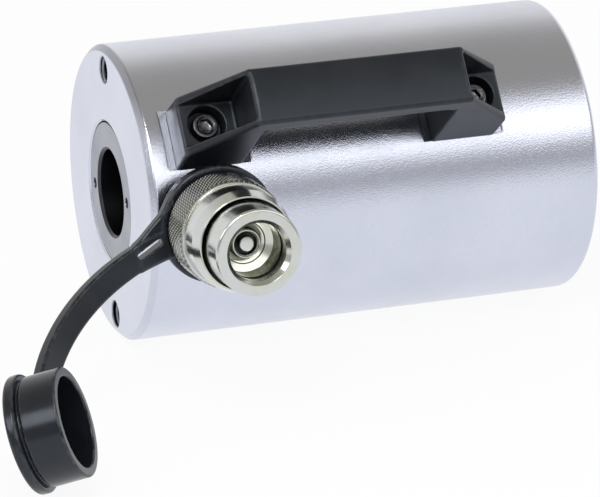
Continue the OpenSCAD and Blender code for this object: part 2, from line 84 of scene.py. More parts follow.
# Sizes of the centre tube
HOLE_R = 16.65
TUBE_R = 21.5
TUBE_TOP = 158.0
HEAD_R = 27.3
HEAD_SINK = 0.5
HEAD_X = 8.5
HEAD_GAP = 0.3
RECESS_R = HEAD_R + HEAD_GAP
BORE_CHAMFER = 1.0
SPANNER_R = 2.0
SPANNER_DEPTH = 5.0
SPANNER_CIRCLE_R = 21.375
SPANNER_TURNS = (81.8, 261.8)

# Sizes of the plunger end
PLUNGER_R = 31.75
PISTON_TOP = 47.5
ROD_TOP = 175.5
BOSS_R = 26.0
BOSS_LEN = 12.0
GLAND_HOLE_R = 32.3
GLAND_TOP = 178.3
SKIRT_R = 35.69
SKIRT_X = 111.8
SADDLE_TOP = 181.0
SPRING_WIRE_R = 3.1
SPRING_COILS = 3.5
BEARING_X = (160.0, 168.2)
BEARING_T = 1.7
WIPER_X = (171.0, 176.2)
WIPER_T = 3.2
PIN_HOLE_R = 2.5
PIN_HOLE_DEPTH = 6.0
PIN_HOLE_INSET = 5.4

# Sizes of the handle, heights over the flats
HANDLE_TURN = 52.2
HANDLE_X = 74.5
HANDLE_LEN = 126.4
HANDLE_W = 24.0
HANDLE_H = 41.7
HANDLE_DRAFT = 1.0
HANDLE_CROWN = 0.8
BAR_T = 8.5
BAR_HALF = 41.2
FOOT_LEN = 25.8
FOOT_H = 15.1
FLAT_N = 55.774
FLAT_OVER = 3.1
SEAT_HALF = FOOT_LEN / 2 + FLAT_OVER
SEAT_X = (HANDLE_LEN - FOOT_LEN) / 2
POCKET_W = 16.0
POCKET_FLOOR = 14.7
FINGER_R = 5.0
SCREW_PITCH = 106.0
SCREW_FLOOR = 7.5
SCREW_BORE_R = 7.2
SCREW_HEAD_R = 5.0
SCREW_HEAD_H = 6.0
SCREW_R = 3.0
SCREW_DEPTH = 8.0
SOCKET_FLATS = 5.0
SOCKET_DEPTH = 3.0

# Sizes of the coupler, heights from the body's axis
COUPLER_TURN = 83.4
COUPLER_X = 22.2
SPOT_H = 56.0
SPOT_R = 15.0
PORT_R = 8.5
VALVE_H = 70.0
VALVE_R = 14.6
COLLAR_H = 70.3
COLLAR_FLOOR = 97.0
COLLAR_TOP = 100.8
COLLAR_BEVEL = 5.3
COLLAR_R = 19.2
LIP_R = 17.1
LIP_WALL = 0.6
KNURL_R = 20.7
KNURL_W = 15.7
KNURL_TEETH = 68
KNURL_DEPTH = 0.65
NOSE_R = 16.2
NOSE_H = 98.5
REACH = 115.0
MOUTH_R = 10.7
GROOVE_H = 107.5
GROOVE_W = 2.4
GROOVE_R = MOUTH_R + GROOVE_W
GROOVE_LIP_R = MOUTH_R + 0.4
FUNNEL_H = 98.8
SEAT_H = 97.0
SEAT_R = 8.0
CHAMBER_R = 9.8
GUIDE_H = 76.2
GUIDE_T = 2.8
CONE_H = 95.28
CONE_R = 9.3
POPPET_BACK = 90.28
POPPET_WIRE_R = 0.6
POPPET_SPRING_R = 5.4
POPPET_COILS = 3
STEM_R = 3.0
STEM_OVER = 2.0
PIN_R = 2.75
PIN_WELL_R = 4.2
PIN_TOP = 100.7
POPPET_BOSS_R = 5.3
POPPET_BOSS_TOP = 100.3

# Sizes of the dust cap, its strap and ring
RING_R = 22.3
RING_HOLE_R = 12.1
RING_T = 5.0
RING_MID = 65.7
STRAP_TURN = 12.7
STRAP_LEAN = 32.8
STRAP_W = 10.0
STRAP_T = 4.6
STRAP_FROM = 10.0
STRAP_BEND_R = 87.6
STRAP_BEND = 67.8
STRAP_BITE = 2.4
ROOT_UPPER = 14.0
ROOT_LOWER = 6.0
ROOT_FROM = 15.0
ROOT_TO = 33.0
ROOT_DRIFT = 1.6
ROOT_BEND = 18.0
SLOT_W = 2.5
SLOT_LEN = 11.0
SLOT_AT = (28.0, -0.4)
SLOT_TURN = 15.3
CAP_ROLL = -14.1
CAP_PITCH = -1.6
CAP_SLEW = -29.2
FLANGE_R = 21.6
FLANGE_T = 4.0
FLANGE_BITE = 0.5
CAP_R = 20.0
CAP_WAIST_R = 18.8
CAP_GROOVE = 1.3
CAP_HOLE_R = 16.5
CAP_FLOOR = 0.6
CAP_TOP = 17.2

# The floor that the body lies on, and the camera of the photograph
FLOOR_Z = -57.0
CAMERA_AT = Vector((-0.4032, -1.384, 0.517))
CAMERA_FORWARD = Vector((0.307, 0.8845, -0.351))
CAMERA_LENS = 240.0
CAMERA_SENSOR = 36.0


# Frames


def rotation(degrees, axis):
    return Matrix.Rotation(math.radians(degrees), 4, axis)


def shift(x=0.0, y=0.0, z=0.0):
    return Matrix.Translation((x, y, z))


def outward(turn, x):
    """Frame whose Z points outward at a turn about the body's axis, at a distance along it."""
    return rotation(turn, "X") @ shift(x)


ALONG_BODY = rotation(90, "Y")
ON_COUPLER = outward(COUPLER_TURN, COUPLER_X)
ON_HANDLE = outward(HANDLE_TURN, HANDLE_X)
ON_STRAP = ON_COUPLER @ rotation(180 + STRAP_TURN, "Z")
IN_BEND = shift(STRAP_FROM, 0, RING_MID) @ rotation(-STRAP_LEAN, "X") @ shift(0, 0, STRAP_BEND_R)
AT_CAP = (
    IN_BEND
    @ rotation(-STRAP_BEND, "Y")
    @ shift(0, 0, -STRAP_BEND_R)
    @ rotation(STRAP_LEAN, "X")
    @ rotation(CAP_PITCH, "Y")
    @ rotation(CAP_ROLL, "X")
    @ rotation(CAP_SLEW, "Z")
    @ shift(FLANGE_R - FLANGE_BITE)
)


# Materials


def combined(tree, operation, first, second):
    """A math node on two inputs, each a socket or a number."""
    made = tree.nodes.new("ShaderNodeMath")
    made.operation = operation
    for socket, value in zip(made.inputs, (first, second)):
        if isinstance(value, float):
            socket.default_value = value
        else:
            tree.links.new(value, socket)
    return made.outputs["Value"]


class Surface:
    """A principled material whose colour, roughness and bump come from procedural textures."""

    def __init__(self, name, metallic=0.0, specular=0.5):
        self.material = bpy.data.materials.new(name)
        self.material.use_nodes = True
        self.tree = self.material.node_tree
        self.shader = self.tree.nodes["Principled BSDF"]
        self.shader.inputs["Metallic"].default_value = metallic
        self.shader.inputs["Specular IOR Level"].default_value = specular
        self.place = self.tree.nodes.new("ShaderNodeTexCoord").outputs["Object"]
        self.normal = None

    def node(self, kind, **values):
        made = self.tree.nodes.new(kind)
        for name, value in values.items():
            setattr(made, name, value)
        return made

    def link(self, source, target):
        self.tree.links.new(source, target)

    def noise(self, size, detail=3.0, roughness=0.55, stretch=(1, 1, 1)):
        """Noise whose features are about size millimetres across."""
        scaled = self.node("ShaderNodeMapping")
        scaled.inputs["Scale"].default_value = stretch
        made = self.node("ShaderNodeTexNoise")
        made.inputs["Scale"].default_value = 1 / (size * MM)
        made.inputs["Detail"].default_value = detail
        made.inputs["Roughness"].default_value = roughness
        self.link(self.place, scaled.inputs["Vector"])
        self.link(scaled.outputs["Vector"], made.inputs["Vector"])
        return made.outputs["Fac"]

    def spread(self, source, low, high, to_low=0.0, to_high=1.0):
        """Maps source from low to high onto another range, and stays inside it."""
        made = self.node("ShaderNodeMapRange", clamp=True)
        for name, value in zip(("From Min", "From Max", "To Min", "To Max"), (low, high, to_low, to_high)):
            made.inputs[name].default_value = value
        self.link(source, made.inputs["Value"])
        return made.outputs["Result"]

    def product(self, first, second):
        return combined(self.tree, "MULTIPLY", first, second)

    def larger(self, first, second):
        return combined(self.tree, "MAXIMUM", first, second)

    def blend(self, share, first, second):
        """Mixes two colours, each a tuple or a socket, by a share."""
        made = self.node("ShaderNodeMix", data_type="RGBA")
        self.link(share, made.inputs["Factor"])
        for colour, name in ((first, "A"), (second, "B")):
            socket = next(s for s in made.inputs if s.name == name and s.type == "RGBA")
            if isinstance(colour, tuple):
                socket.default_value = (*colour, 1)
            else:
                self.link(colour, socket)
        return next(s for s in made.outputs if s.type == "RGBA")

    def mask(self, name):
        """A value that the mesh carries at its vertices."""
        return self.node("ShaderNodeAttribute", attribute_name=name).outputs["Fac"]

    def bump(self, source, height, strength=1.0):
        """Raises the surface by a source, height millimetres at most."""
        made = self.node("ShaderNodeBump")
        made.inputs["Strength"].default_value = strength
        made.inputs["Distance"].default_value = height * MM
        self.link(source, made.inputs["Height"])
        if self.normal:
            self.link(self.normal, made.inputs["Normal"])
        self.normal = made.outputs["Normal"]

    def finish(self, colour, roughness):
        self.link(colour, self.shader.inputs["Base Color"])
        self.link(roughness, self.shader.inputs["Roughness"])
        if self.normal:
            self.link(self.normal, self.shader.inputs["Normal"])
        return self.material


def satin_plate():
    """Bead-blasted plate: fine sparkle, faint smudges, painted shade on the base edge and inside its bolt
    holes.
    """
    s = Surface("satin_plate", metallic=1.0)
    smudge = s.noise(45, detail=4)
    grain = s.noise(0.6, detail=2, roughness=0.7)
    colour = s.blend(s.spread(smudge, 0.35, 0.7), (0.66, 0.69, 0.80), (0.61, 0.64, 0.75))
    colour = s.blend(s.spread(grain, 0.58, 0.72, 0.0, 0.5), colour, (0.50, 0.52, 0.62))
    # Painted shade on the base edge, by the edge mask
    colour = s.blend(s.mask("edge"), colour, (0.33, 0.34, 0.40))
    # The dark mask is painted shade in holes, recesses and at the ends of the seats
    colour = s.blend(s.mask("dark"), colour, (0.05, 0.05, 0.055))
    s.bump(grain, 0.08)
    s.bump(s.noise(2.5, detail=2), 0.015)
    return s.finish(colour, s.spread(smudge, 0.3, 0.7, 0.18, 0.23))


def turned_steel(name, light, dark, low, high, along):
    """Lathe-turned steel, with rings about one axis of the body, and painted shade where it is marked dark.
    """
    s = Surface(name, metallic=1.0)
    squeeze = [0.02, 0.02, 0.02]
    squeeze[along] = 1.0
    rings = s.noise(0.8, detail=2, stretch=tuple(squeeze))
    smudge = s.noise(14, detail=4)
    s.bump(rings, 0.006)
    s.bump(s.noise(0.4, detail=2), 0.006)
    # The dark mask is painted shade
    colour = s.blend(s.mask("dark"), s.blend(smudge, light, dark), (0.012, 0.012, 0.014))
    return s.finish(colour, s.spread(smudge, 0.3, 0.7, low, high))


def zinc_plate():
    """Bright zinc plate, yellowish where it is tinted, with painted shade in its grooves."""
    s = Surface("zinc_plate", metallic=1.0)
    tint = s.noise(9, detail=3)
    spots = s.noise(1.6, detail=4, roughness=0.65)
    colour = s.blend(s.spread(tint, 0.35, 0.7), (0.62, 0.645, 0.655), (0.60, 0.615, 0.555))
    colour = s.blend(s.spread(spots, 0.66, 0.78), colour, (0.40, 0.40, 0.35))
    colour = s.blend(s.mask("tint"), colour, (0.62, 0.63, 0.56))
    # The dark mask is painted shade in grooves, wells and between the knurl's teeth
    colour = s.blend(s.mask("dark"), colour, (0.020, 0.021, 0.017))
    s.bump(s.noise(0.7, detail=2), 0.008)
    return s.finish(colour, s.spread(spots, 0.3, 0.75, 0.13, 0.24))


def moulded_plastic():
    """Black moulded plastic with a fine grain and paler rubbed edges, dull in the finger gap."""
    s = Surface("moulded_plastic", specular=0.45)
    s.shader.inputs["Specular Tint"].default_value = (0.80, 0.89, 1.0, 1)
    grain = s.noise(0.35, detail=2)
    cloud = s.noise(16, detail=4)
    rubbed = s.product(s.mask("edge"), s.spread(s.noise(3, detail=4), 0.35, 0.65))
    colour = s.blend(s.spread(cloud, 0.3, 0.7), (0.007, 0.008, 0.011), (0.011, 0.012, 0.015))
    colour = s.blend(rubbed, colour, (0.035, 0.036, 0.042))
    s.bump(grain, 0.012)
    return s.finish(colour, s.larger(s.spread(cloud, 0.3, 0.7, 0.30, 0.38), s.mask("matt")))


def moulded_rubber():
    """Black rubber with a soft sheen, a little dust and rubbed edges."""
    s = Surface("moulded_rubber")
    s.shader.inputs["Specular Tint"].default_value = (0.80, 0.89, 1.0, 1)
    dust = s.spread(s.noise(2.2, detail=5, roughness=0.7), 0.60, 0.80, 0.0, 0.35)
    cloud = s.noise(12, detail=3)
    rubbed = s.product(s.mask("edge"), s.spread(s.noise(2.5, detail=4), 0.4, 0.7))
    colour = s.blend(s.spread(cloud, 0.3, 0.7), (0.007, 0.008, 0.011), (0.011, 0.012, 0.016))
    colour = s.blend(dust, colour, (0.030, 0.031, 0.036))
    colour = s.blend(rubbed, colour, (0.06, 0.06, 0.065))
    s.bump(s.noise(0.5, detail=3), 0.010)
    return s.finish(colour, s.spread(cloud, 0.3, 0.7, 0.16, 0.24))


def black_steel():
    """Blackened steel, worn bright in spots."""
    s = Surface("black_steel", metallic=1.0)
    worn = s.spread(s.noise(1.2, detail=5, roughness=0.7), 0.56, 0.70)
    colour = s.blend(worn, (0.08, 0.08, 0.09), (0.34, 0.34, 0.35))
    s.bump(s.noise(0.3, detail=2), 0.006)
    return s.finish(colour, s.spread(worn, 0, 1, 0.30, 0.20))


def plain_metal(name, light, dark, low, high, grain=0.5):
    s = Surface(name, metallic=1.0)
    cloud = s.noise(7, detail=4)
    s.bump(s.noise(grain, detail=2), 0.006)
    return s.finish(s.blend(cloud, light, dark), s.spread(cloud, 0.3, 0.7, low, high))


def seal_stuff(name, light, dark):
    """Seals and wear rings: dull, faintly mottled."""
    s = Surface(name)
    cloud = s.noise(4, detail=4)
    s.bump(s.noise(0.4, detail=2), 0.01)
    return s.finish(s.blend(cloud, light, dark), s.spread(cloud, 0.3, 0.7, 0.42, 0.58))


MATERIALS = {
    "body_satin_plate": satin_plate(),
    "tube_steel": turned_steel("tube_steel", (0.37, 0.39, 0.44), (0.31, 0.33, 0.38), 0.30, 0.40, 0),
    "plunger_chrome": plain_metal("plunger_chrome", (0.78, 0.79, 0.81), (0.70, 0.71, 0.74), 0.10, 0.18),
    "seal_rubber": seal_stuff("seal_rubber", (0.020, 0.020, 0.022), (0.035, 0.035, 0.037)),
    "wear_plastic": seal_stuff("wear_plastic", (0.30, 0.20, 0.12), (0.22, 0.14, 0.08)),
    "spring_steel": plain_metal("spring_steel", (0.32, 0.33, 0.35), (0.22, 0.22, 0.24), 0.30, 0.42),
    "gland_steel": turned_steel("gland_steel", (0.34, 0.35, 0.38), (0.26, 0.27, 0.29), 0.30, 0.42, 0),
    "bearing_bronze": plain_metal("bearing_bronze", (0.62, 0.44, 0.20), (0.50, 0.34, 0.16), 0.28, 0.40),
    "saddle_steel": turned_steel("saddle_steel", (0.38, 0.38, 0.40), (0.28, 0.28, 0.30), 0.32, 0.45, 0),
    "handle_plastic": moulded_plastic(),
    "screw_steel": black_steel(),
    "coupler_zinc": zinc_plate(),
    "guide_brass": plain_metal("guide_brass", (0.66, 0.52, 0.26), (0.55, 0.42, 0.20), 0.25, 0.38),
    "cap_rubber": moulded_rubber(),
}


# Meshes


def clean(mesh, weld=0.0):
    """Turns the faces of a mesh outward and welds points closer than a distance."""
    work = bmesh.new()
    work.from_mesh(mesh)
    if weld:
        bmesh.ops.remove_doubles(work, verts=work.verts, dist=weld)
    bmesh.ops.recalc_face_normals(work, faces=work.faces)
    work.to_mesh(mesh)
    work.free()


def placed_mesh(name, points, faces, place):
    """A welded mesh from points in millimetres, set in a frame."""
    mesh = bpy.data.meshes.new(name)
    mesh.from_pydata([tuple(p) for p in points], [], [tuple(f) for f in faces])
    mesh.transform(Matrix.Scale(MM, 4) @ place)
    clean(mesh, WELD)
    return mesh


def show(name, data):
    """Puts a mesh, lamp or camera into the scene."""
    made = bpy.data.objects.new(name, data)
    bpy.context.scene.collection.objects.link(made)
    return made


def make_piece(name, mesh, body, slot, replaces):
    """A piece of the object that rides on a CAD body, and may stand for CAD nodes."""
    mesh.materials.append(MATERIALS[slot])
    piece = show(name, mesh)
    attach(piece, body)
    if replaces:
        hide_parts(*replaces)
    return piece


def add_piece(name, points, faces, place, body, slot, replaces=()):
    """A piece from points in millimetres, set in a frame."""
    return make_piece(name, placed_mesh(name, points, faces, place), body, slot, replaces)


def shade(piece, angle=32):
    """Smooth shading that breaks at sharp edges and keeps flat faces flat."""
    piece.data.polygons.foreach_set("use_smooth", [True] * len(piece.data.polygons))
    piece.data.set_sharp_from_angle(angle=math.radians(angle))
    even = piece.modifiers.new("even_normals", "WEIGHTED_NORMAL")
    even.keep_sharp = True


def local_points(piece, place):
    """Vertices of a piece in millimetres, seen from a frame."""
    return moved(np.array([v.co for v in piece.data.vertices]) / MM, place)


def set_mask(piece, name, values):
    """Gives each vertex a value, at least what it had."""
    had = np.zeros(len(values), np.float32)
    if name in piece.data.attributes:
        piece.data.attributes[name].data.foreach_get("value", had)
    else:
        piece.data.attributes.new(name, "FLOAT", "POINT")
    piece.data.attributes[name].data.foreach_set("value", np.maximum(had, values).astype(np.float32))


def mark(piece, name, rule, place):
    """Sets a mask by a rule on each vertex's radius and height in a frame."""
    x, y, h = local_points(piece, place).T
    set_mask(piece, name, rule(np.hypot(x, y), h))


def bake(piece):
    """Applies a piece's modifiers."""
    bpy.context.view_layer.update()
    graph = bpy.context.evaluated_depsgraph_get()
    mesh = bpy.data.meshes.new_from_object(piece.evaluated_get(graph))
    piece.modifiers.clear()
    piece.data = mesh


def rounded_outline(corners, steps=5):
    """Closed outline from corners (radius, height, rounding)."""
    outline = []
    for i, (r, h, rounding) in enumerate(corners):
        here = Vector((r, h))
        if rounding <= 0:
            outline.append((r, h))
            continue
        before = Vector(corners[i - 1][:2]) - here
        after = Vector(corners[(i + 1) % len(corners)][:2]) - here
        half = before.angle(after) / 2
        reach = min(rounding / math.tan(half), 0.49 * before.length, 0.49 * after.length)
        radius = reach * math.tan(half)
        middle = here + (before.normalized() + after.normalized()).normalized() * radius / math.sin(half)
        start = here + before.normalized() * reach - middle
        end = here + after.normalized() * reach - middle
        sweep = start.angle_signed(end)
        for k in range(steps + 1):
            turned = start.copy()
            turned.rotate(Matrix.Rotation(-sweep * k / steps, 2))
            outline.append(tuple(middle + turned))
    return outline


def ring_faces(rows, count, closed):
    """Faces between rows of points, each row a ring, and from the last row to the first if closed."""
    faces = []
    for i in range(rows if closed else rows - 1):
        a, b = i * count, (i + 1) % rows * count
        faces += [(a + j, a + (j + 1) % count, b + (j + 1) % count, b + j) for j in range(count)]
    return faces


def lathe(corners, segments=192, steps=5):
    """Points and faces of a closed outline turned about Z."""
    outline = rounded_outline(corners, steps)
    points = [
        (r * math.cos(a), r * math.sin(a), h)
        for a in (2 * math.pi * i / segments for i in range(segments))
        for r, h in outline
    ]
    return points, ring_faces(segments, len(outline), closed=True)


def turned_piece(name, corners, place, body, slot, replaces=(), segments=192, steps=5):
    return add_piece(name, *lathe(corners, segments, steps), place, body, slot, replaces)


def cutter(points, faces, place):
    return show("cutter", placed_mesh("cutter", points, faces, place))


def round_cutter(corners, place, segments=64):
    """Cutter turned about Z, from corners (radius, height)."""
    return cutter(*lathe([(r, h, 0) for r, h in corners], segments), place)


def box_cutter(low, high, place):
    points = list(product(*zip(low, high)))
    faces = [(0, 1, 3, 2), (4, 6, 7, 5), (0, 4, 5, 1), (2, 3, 7, 6), (0, 2, 6, 4), (1, 5, 7, 3)]
    return cutter(points, faces, place)


def cut(piece, cutters, edge=0.0):
    """Takes cutters out of a piece and breaks the new edges by a small bevel."""
    for tool in cutters:
        hole = piece.modifiers.new("hole", "BOOLEAN")
        hole.operation = "DIFFERENCE"
        hole.solver = "EXACT"
        hole.object = tool
    bake(piece)
    for tool in cutters:
        bpy.data.objects.remove(tool)
    if edge:
        broken = piece.modifiers.new("broken_edges", "BEVEL")
        broken.width = edge * MM
        broken.segments = 2
        broken.limit_method = "ANGLE"
        broken.angle_limit = math.radians(35)
        bake(piece)


# Shapes given by a distance: negative inside, in millimetres


def common(first, second, rounding):
    """What two shapes share, with a rounded edge."""
    corner = np.hypot(np.maximum(first + rounding, 0), np.maximum(second + rounding, 0))
    return np.minimum(np.maximum(first, second), -rounding) + corner


def joined(first, second, rounding):
    """Two shapes together, with a fillet between them."""
    return -common(-first, -second, rounding)


def without(first, second, rounding):
    return common(first, -second, rounding)


def polygon_distance(x, y, corners):
    nearest = np.full(x.shape, np.inf)
    inside = np.zeros(x.shape, bool)
    for (x0, y0), (x1, y1) in zip(corners, corners[1:] + corners[:1]):
        ex, ey = x1 - x0, y1 - y0
        px, py = x - x0, y - y0
        along = np.clip((px * ex + py * ey) / (ex * ex + ey * ey), 0, 1)
        nearest = np.minimum(nearest, (px - ex * along) ** 2 + (py - ey * along) ** 2)
        left = ex * py > ey * px
        inside ^= ((y0 <= y) & (y1 > y) & left) | ((y1 <= y) & (y0 > y) & ~left)
    return np.where(inside, -1, 1) * np.sqrt(nearest)


def moved(points, place):
    """Points seen from another frame."""
    back = np.array(place.inverted())
    return points @ back[:3, :3].T + back[:3, 3]


def slope_of(shape, points, step=0.02):
    """Gradient and curvature of a shape's distance at points."""
    here = shape(points)
    gradient = np.zeros_like(points)
    curve = -6 * here
    for axis in range(3):
        nudge = np.zeros(3)
        nudge[axis] = step
        ahead, behind = shape(points + nudge), shape(points - nudge)
        gradient[:, axis] = (ahead - behind) / (2 * step)
        curve += ahead + behind
    return here, gradient, curve / step**2


def sampled(shape, low, counts, step, block=16):
    """The distance at grid points, worked out only in blocks that the surface may cross."""
    values = np.empty(counts)
    slack = 1.6
    reach = slack * block * step * math.sqrt(3) / 2
    for start in product(*(range(0, n, block) for n in counts)):
        ends = [min(s + block, n) for s, n in zip(start, counts)]
        part = tuple(slice(s, e) for s, e in zip(start, ends))
        middle = low + step * (np.array(start) + np.array(ends) - 1) / 2
        near = float(shape(middle[None])[0])
        if abs(near) > reach:
            values[part] = near
            continue
        axes = [low[i] + step * np.arange(start[i], ends[i]) for i in range(3)]
        values[part] = shape(np.stack(np.meshgrid(*axes, indexing="ij"), -1))
    return values


def skin(shape, low, high, step, settle=4):
    """Points, faces, normals and edge mask of the surface of a shape, on a grid of cells."""
    low = np.array(low, float)
    counts = [int(math.ceil((h - l) / step)) + 1 for l, h in zip(low, high)]
    inside = sampled(shape, low, counts, step) < 0
    corners = sum(
        inside[i : counts[0] - 1 + i, j : counts[1] - 1 + j, k : counts[2] - 1 + k].astype(np.int8)
        for i, j, k in product((0, 1), repeat=3)
    )
    crossed = (corners > 0) & (corners < 8)
    number = np.full(crossed.shape, -1)
    number[crossed] = np.arange(crossed.sum())
    points = low + step * (np.argwhere(crossed) + 0.5)
    faces = []
    for axis in range(3):
        a, b = [i for i in range(3) if i != axis]
        ahead = [slice(None)] * 3
        behind = [slice(None)] * 3
        ahead[axis], behind[axis] = slice(1, None), slice(None, -1)
        change = inside[tuple(ahead)] != inside[tuple(behind)]
        at = np.argwhere(change)
        at = at[(at[:, a] > 0) & (at[:, b] > 0) & (at[:, a] < counts[a] - 1) & (at[:, b] < counts[b] - 1)]
        ring = []
        for da, db in ((1, 1), (0, 1), (0, 0), (1, 0)):
            cell = at.copy()
            cell[:, a] -= da
            cell[:, b] -= db
            ring.append(number[tuple(cell.T)])
        faces.append(np.stack(ring, 1))
    faces = np.concatenate(faces)
    for turn in range(settle):
        if turn:
            points = evened(points, faces)
        for _ in range(2):
            here, gradient, _ = slope_of(shape, points)
            steep = np.maximum((gradient**2).sum(1), 0.05)
            points = points - np.clip(here / steep, -step, step)[:, None] * gradient
    _, gradient, curve = slope_of(shape, points, 0.1)
    normals = gradient / np.maximum(np.linalg.norm(gradient, axis=1), 1e-9)[:, None]
    return points, faces, normals, np.clip(curve - 0.35, 0, 1)


def evened(points, faces):
    """Moves each point halfway to the middle of its neighbours."""
    total = np.zeros_like(points)
    count = np.zeros(len(points))
    for a, b in ((0, 1), (1, 2), (2, 3), (3, 0)):
        for p, q in ((faces[:, a], faces[:, b]), (faces[:, b], faces[:, a])):
            np.add.at(total, p, points[q])
            np.add.at(count, p, 1)
    return (points + total / count[:, None]) / 2


def moulded_piece(name, shape, low, high, step, place, body, slot, replaces):
    """A smooth moulded piece from a distance, with a mask of its edges."""
    points, faces, normals, edge = skin(shape, low, high, step)
    mesh = bpy.data.meshes.new(name)
    mesh.from_pydata(points.tolist(), [], faces.tolist())
    clean(mesh)
    mesh.transform(Matrix.Scale(MM, 4) @ place)
    mesh.polygons.foreach_set("use_smooth", [True] * len(mesh.polygons))
    turned = normals @ np.array(place.to_3x3()).T
    mesh.normals_split_custom_set_from_vertices(turned.tolist())
    mask = mesh.attributes.new("edge", "FLOAT", "POINT")
    mask.data.foreach_set("value", edge.astype(np.float32))
    return make_piece(name, mesh, body, slot, replaces)


# Body and centre tube


def bolt_frame(turn):
    """Frame of a base bolt hole: Z goes into the base."""
    return rotation(turn, "X") @ shift(0, 0, BOLT_CIRCLE_R) @ ALONG_BODY


def body_outline():
    """Corners of the body's section, with loops beside the handle's seats."""
    beside = SEAT_HALF + 0.8
    loops = [HANDLE_X + side * SEAT_X + end * beside for side in (-1, 1) for end in (-1, 1)]
    return [
        (RECESS_R + MOUTH_CHAMFER, 0, 0.2),
        (BODY_R - BASE_EDGE, 0, 1.6),
        (BODY_R, BASE_EDGE, 1.6),
        *((BODY_R, x, 0) for x in loops),
        (BODY_R, BODY_LEN, END_EDGE),
        (GLAND_R + MOUTH_CHAMFER, BODY_LEN, 0.2),
        (GLAND_R, BODY_LEN - MOUTH_CHAMFER, 0.2),
        (GLAND_R, GLAND_X, 0),
        (BARREL_R, GLAND_X, 0),
        (BARREL_R, BASE_T, 0),
        (TUBE_R + 0.05, BASE_T, 0),
        (TUBE_R + 0.05, HEAD_X, 0),
        (RECESS_R, HEAD_X, 0),
        (RECESS_R, MOUTH_CHAMFER, 0.2),
    ]


def body_cutters():
    """The base bolt holes, the seats of the handle and the port of the coupler."""
    over = BODY_R + 5
    under = BODY_R - 10
    hole = [
        (0, -1),
        (BOLT_R + COUNTERSINK + 1, -1),
        (BOLT_R, COUNTERSINK),
        (BOLT_R, BOLT_DEPTH),
        (0, BOLT_DEPTH),
    ]
    port = [(0, under), (PORT_R, under), (PORT_R, SPOT_H), (SPOT_R, SPOT_H), (SPOT_R, over), (0, over)]
    holes = [round_cutter(hole, bolt_frame(turn)) for turn in BOLT_TURNS]
    seats = [
        box_cutter(
            (side * SEAT_X - SEAT_HALF, -BODY_R / 2, FLAT_N),
            (side * SEAT_X + SEAT_HALF, BODY_R / 2, over),
            ON_HANDLE,
        )
        for side in (-1, 1)
    ]
    return holes + seats + [round_cutter(port, ON_COUPLER)]


def make_body():
    shell = turned_piece(
        "body",
        body_outline(),
        ALONG_BODY,
        "cylinder",
        "body_satin_plate",
        ["cylinder_body"],
        segments=288,
        steps=10,
    )
    cut(shell, body_cutters(), edge=0.3)
    # Painted shade in the bolt holes, round the tube's head, on the base edge and across the ends of the
    # seats
    for turn in BOLT_TURNS:
        mark(shell, "dark", bolt_hole_shade, bolt_frame(turn))
    mark(shell, "dark", recess_shade, ALONG_BODY)
    set_mask(shell, "edge", base_edge_shade(*local_points(shell, Matrix()).T))
    set_mask(shell, "dark", seat_rim(*local_points(shell, ON_HANDLE).T))
    shade(shell, 11)


def bolt_hole_shade(r, h):
    """Painted shade inside a base bolt hole, below its countersink."""
    return (r < BOLT_R + NEAR) & (h > COUNTERSINK - 0.1) & (h < BOLT_DEPTH + 0.1)


def recess_shade(r, h):
    """Painted shade on the wall round the tube's head and inside the body."""
    return (r < RECESS_R + NEAR) & (h > MOUTH_CHAMFER - 0.3)


def base_edge_shade(x, y, z):
    """Painted shade on the machined edge round the base, darkest at the top."""
    width = BASE_EDGE + 0.3
    inside = np.minimum(np.hypot(y, z) - BODY_R + width, width - x)
    return np.clip(inside / 0.6, 0, 1) * np.clip((z - EDGE_SHADE_FROM) / EDGE_SHADE_OVER, 0.15, 1)


def seat_rim(x, y, n):
    """The shaded rim across both ends of each handle seat."""
    from_end = np.abs(np.abs(np.abs(x) - SEAT_X) - SEAT_HALF)
    return 0.8 * ((from_end < 0.4) & (n > FLAT_N + 0.1) & (np.abs(y) < BODY_R / 4))


def thread_coil(steps=48):
    """Points and faces of a thread of four sides inside a base bolt hole."""
    first, last = 1.2, BOLT_DEPTH - 0.6
    rows = int((last - first) / THREAD_PITCH * steps)
    root, crest = BOLT_R + 0.05, BOLT_R - THREAD_DEPTH
    section = [(root, -0.45), (crest, -0.07), (crest, 0.07), (root, 0.45)]
    points = []
    for i in range(rows + 1):
        a = 2 * math.pi * i / steps
        h = first + THREAD_PITCH * i / steps
        points += [(r * math.cos(a), r * math.sin(a), h + rise * THREAD_PITCH) for r, rise in section]
    ends = [(0, 1, 2, 3), tuple(4 * rows + j for j in (3, 2, 1, 0))]
    return points, ring_faces(rows + 1, len(section), closed=False) + ends


def make_bolt_threads():
    """Helical thread in each base bolt hole."""
    for label, turn in zip(("upper", "lower"), BOLT_TURNS):
        thread = add_piece(
            "bolt_thread_" + label, *thread_coil(), bolt_frame(turn), "cylinder", "body_satin_plate"
        )
        # Painted shade: the thread inside the hole is darkened all over
        set_mask(thread, "dark", np.full(len(thread.data.vertices), 0.7))
        shade(thread)


def spanner_frame(turn):
    """Frame of a spanner hole in the tube's head: Z goes into the head."""
    return rotation(turn, "X") @ shift(0, 0, SPANNER_CIRCLE_R) @ ALONG_BODY


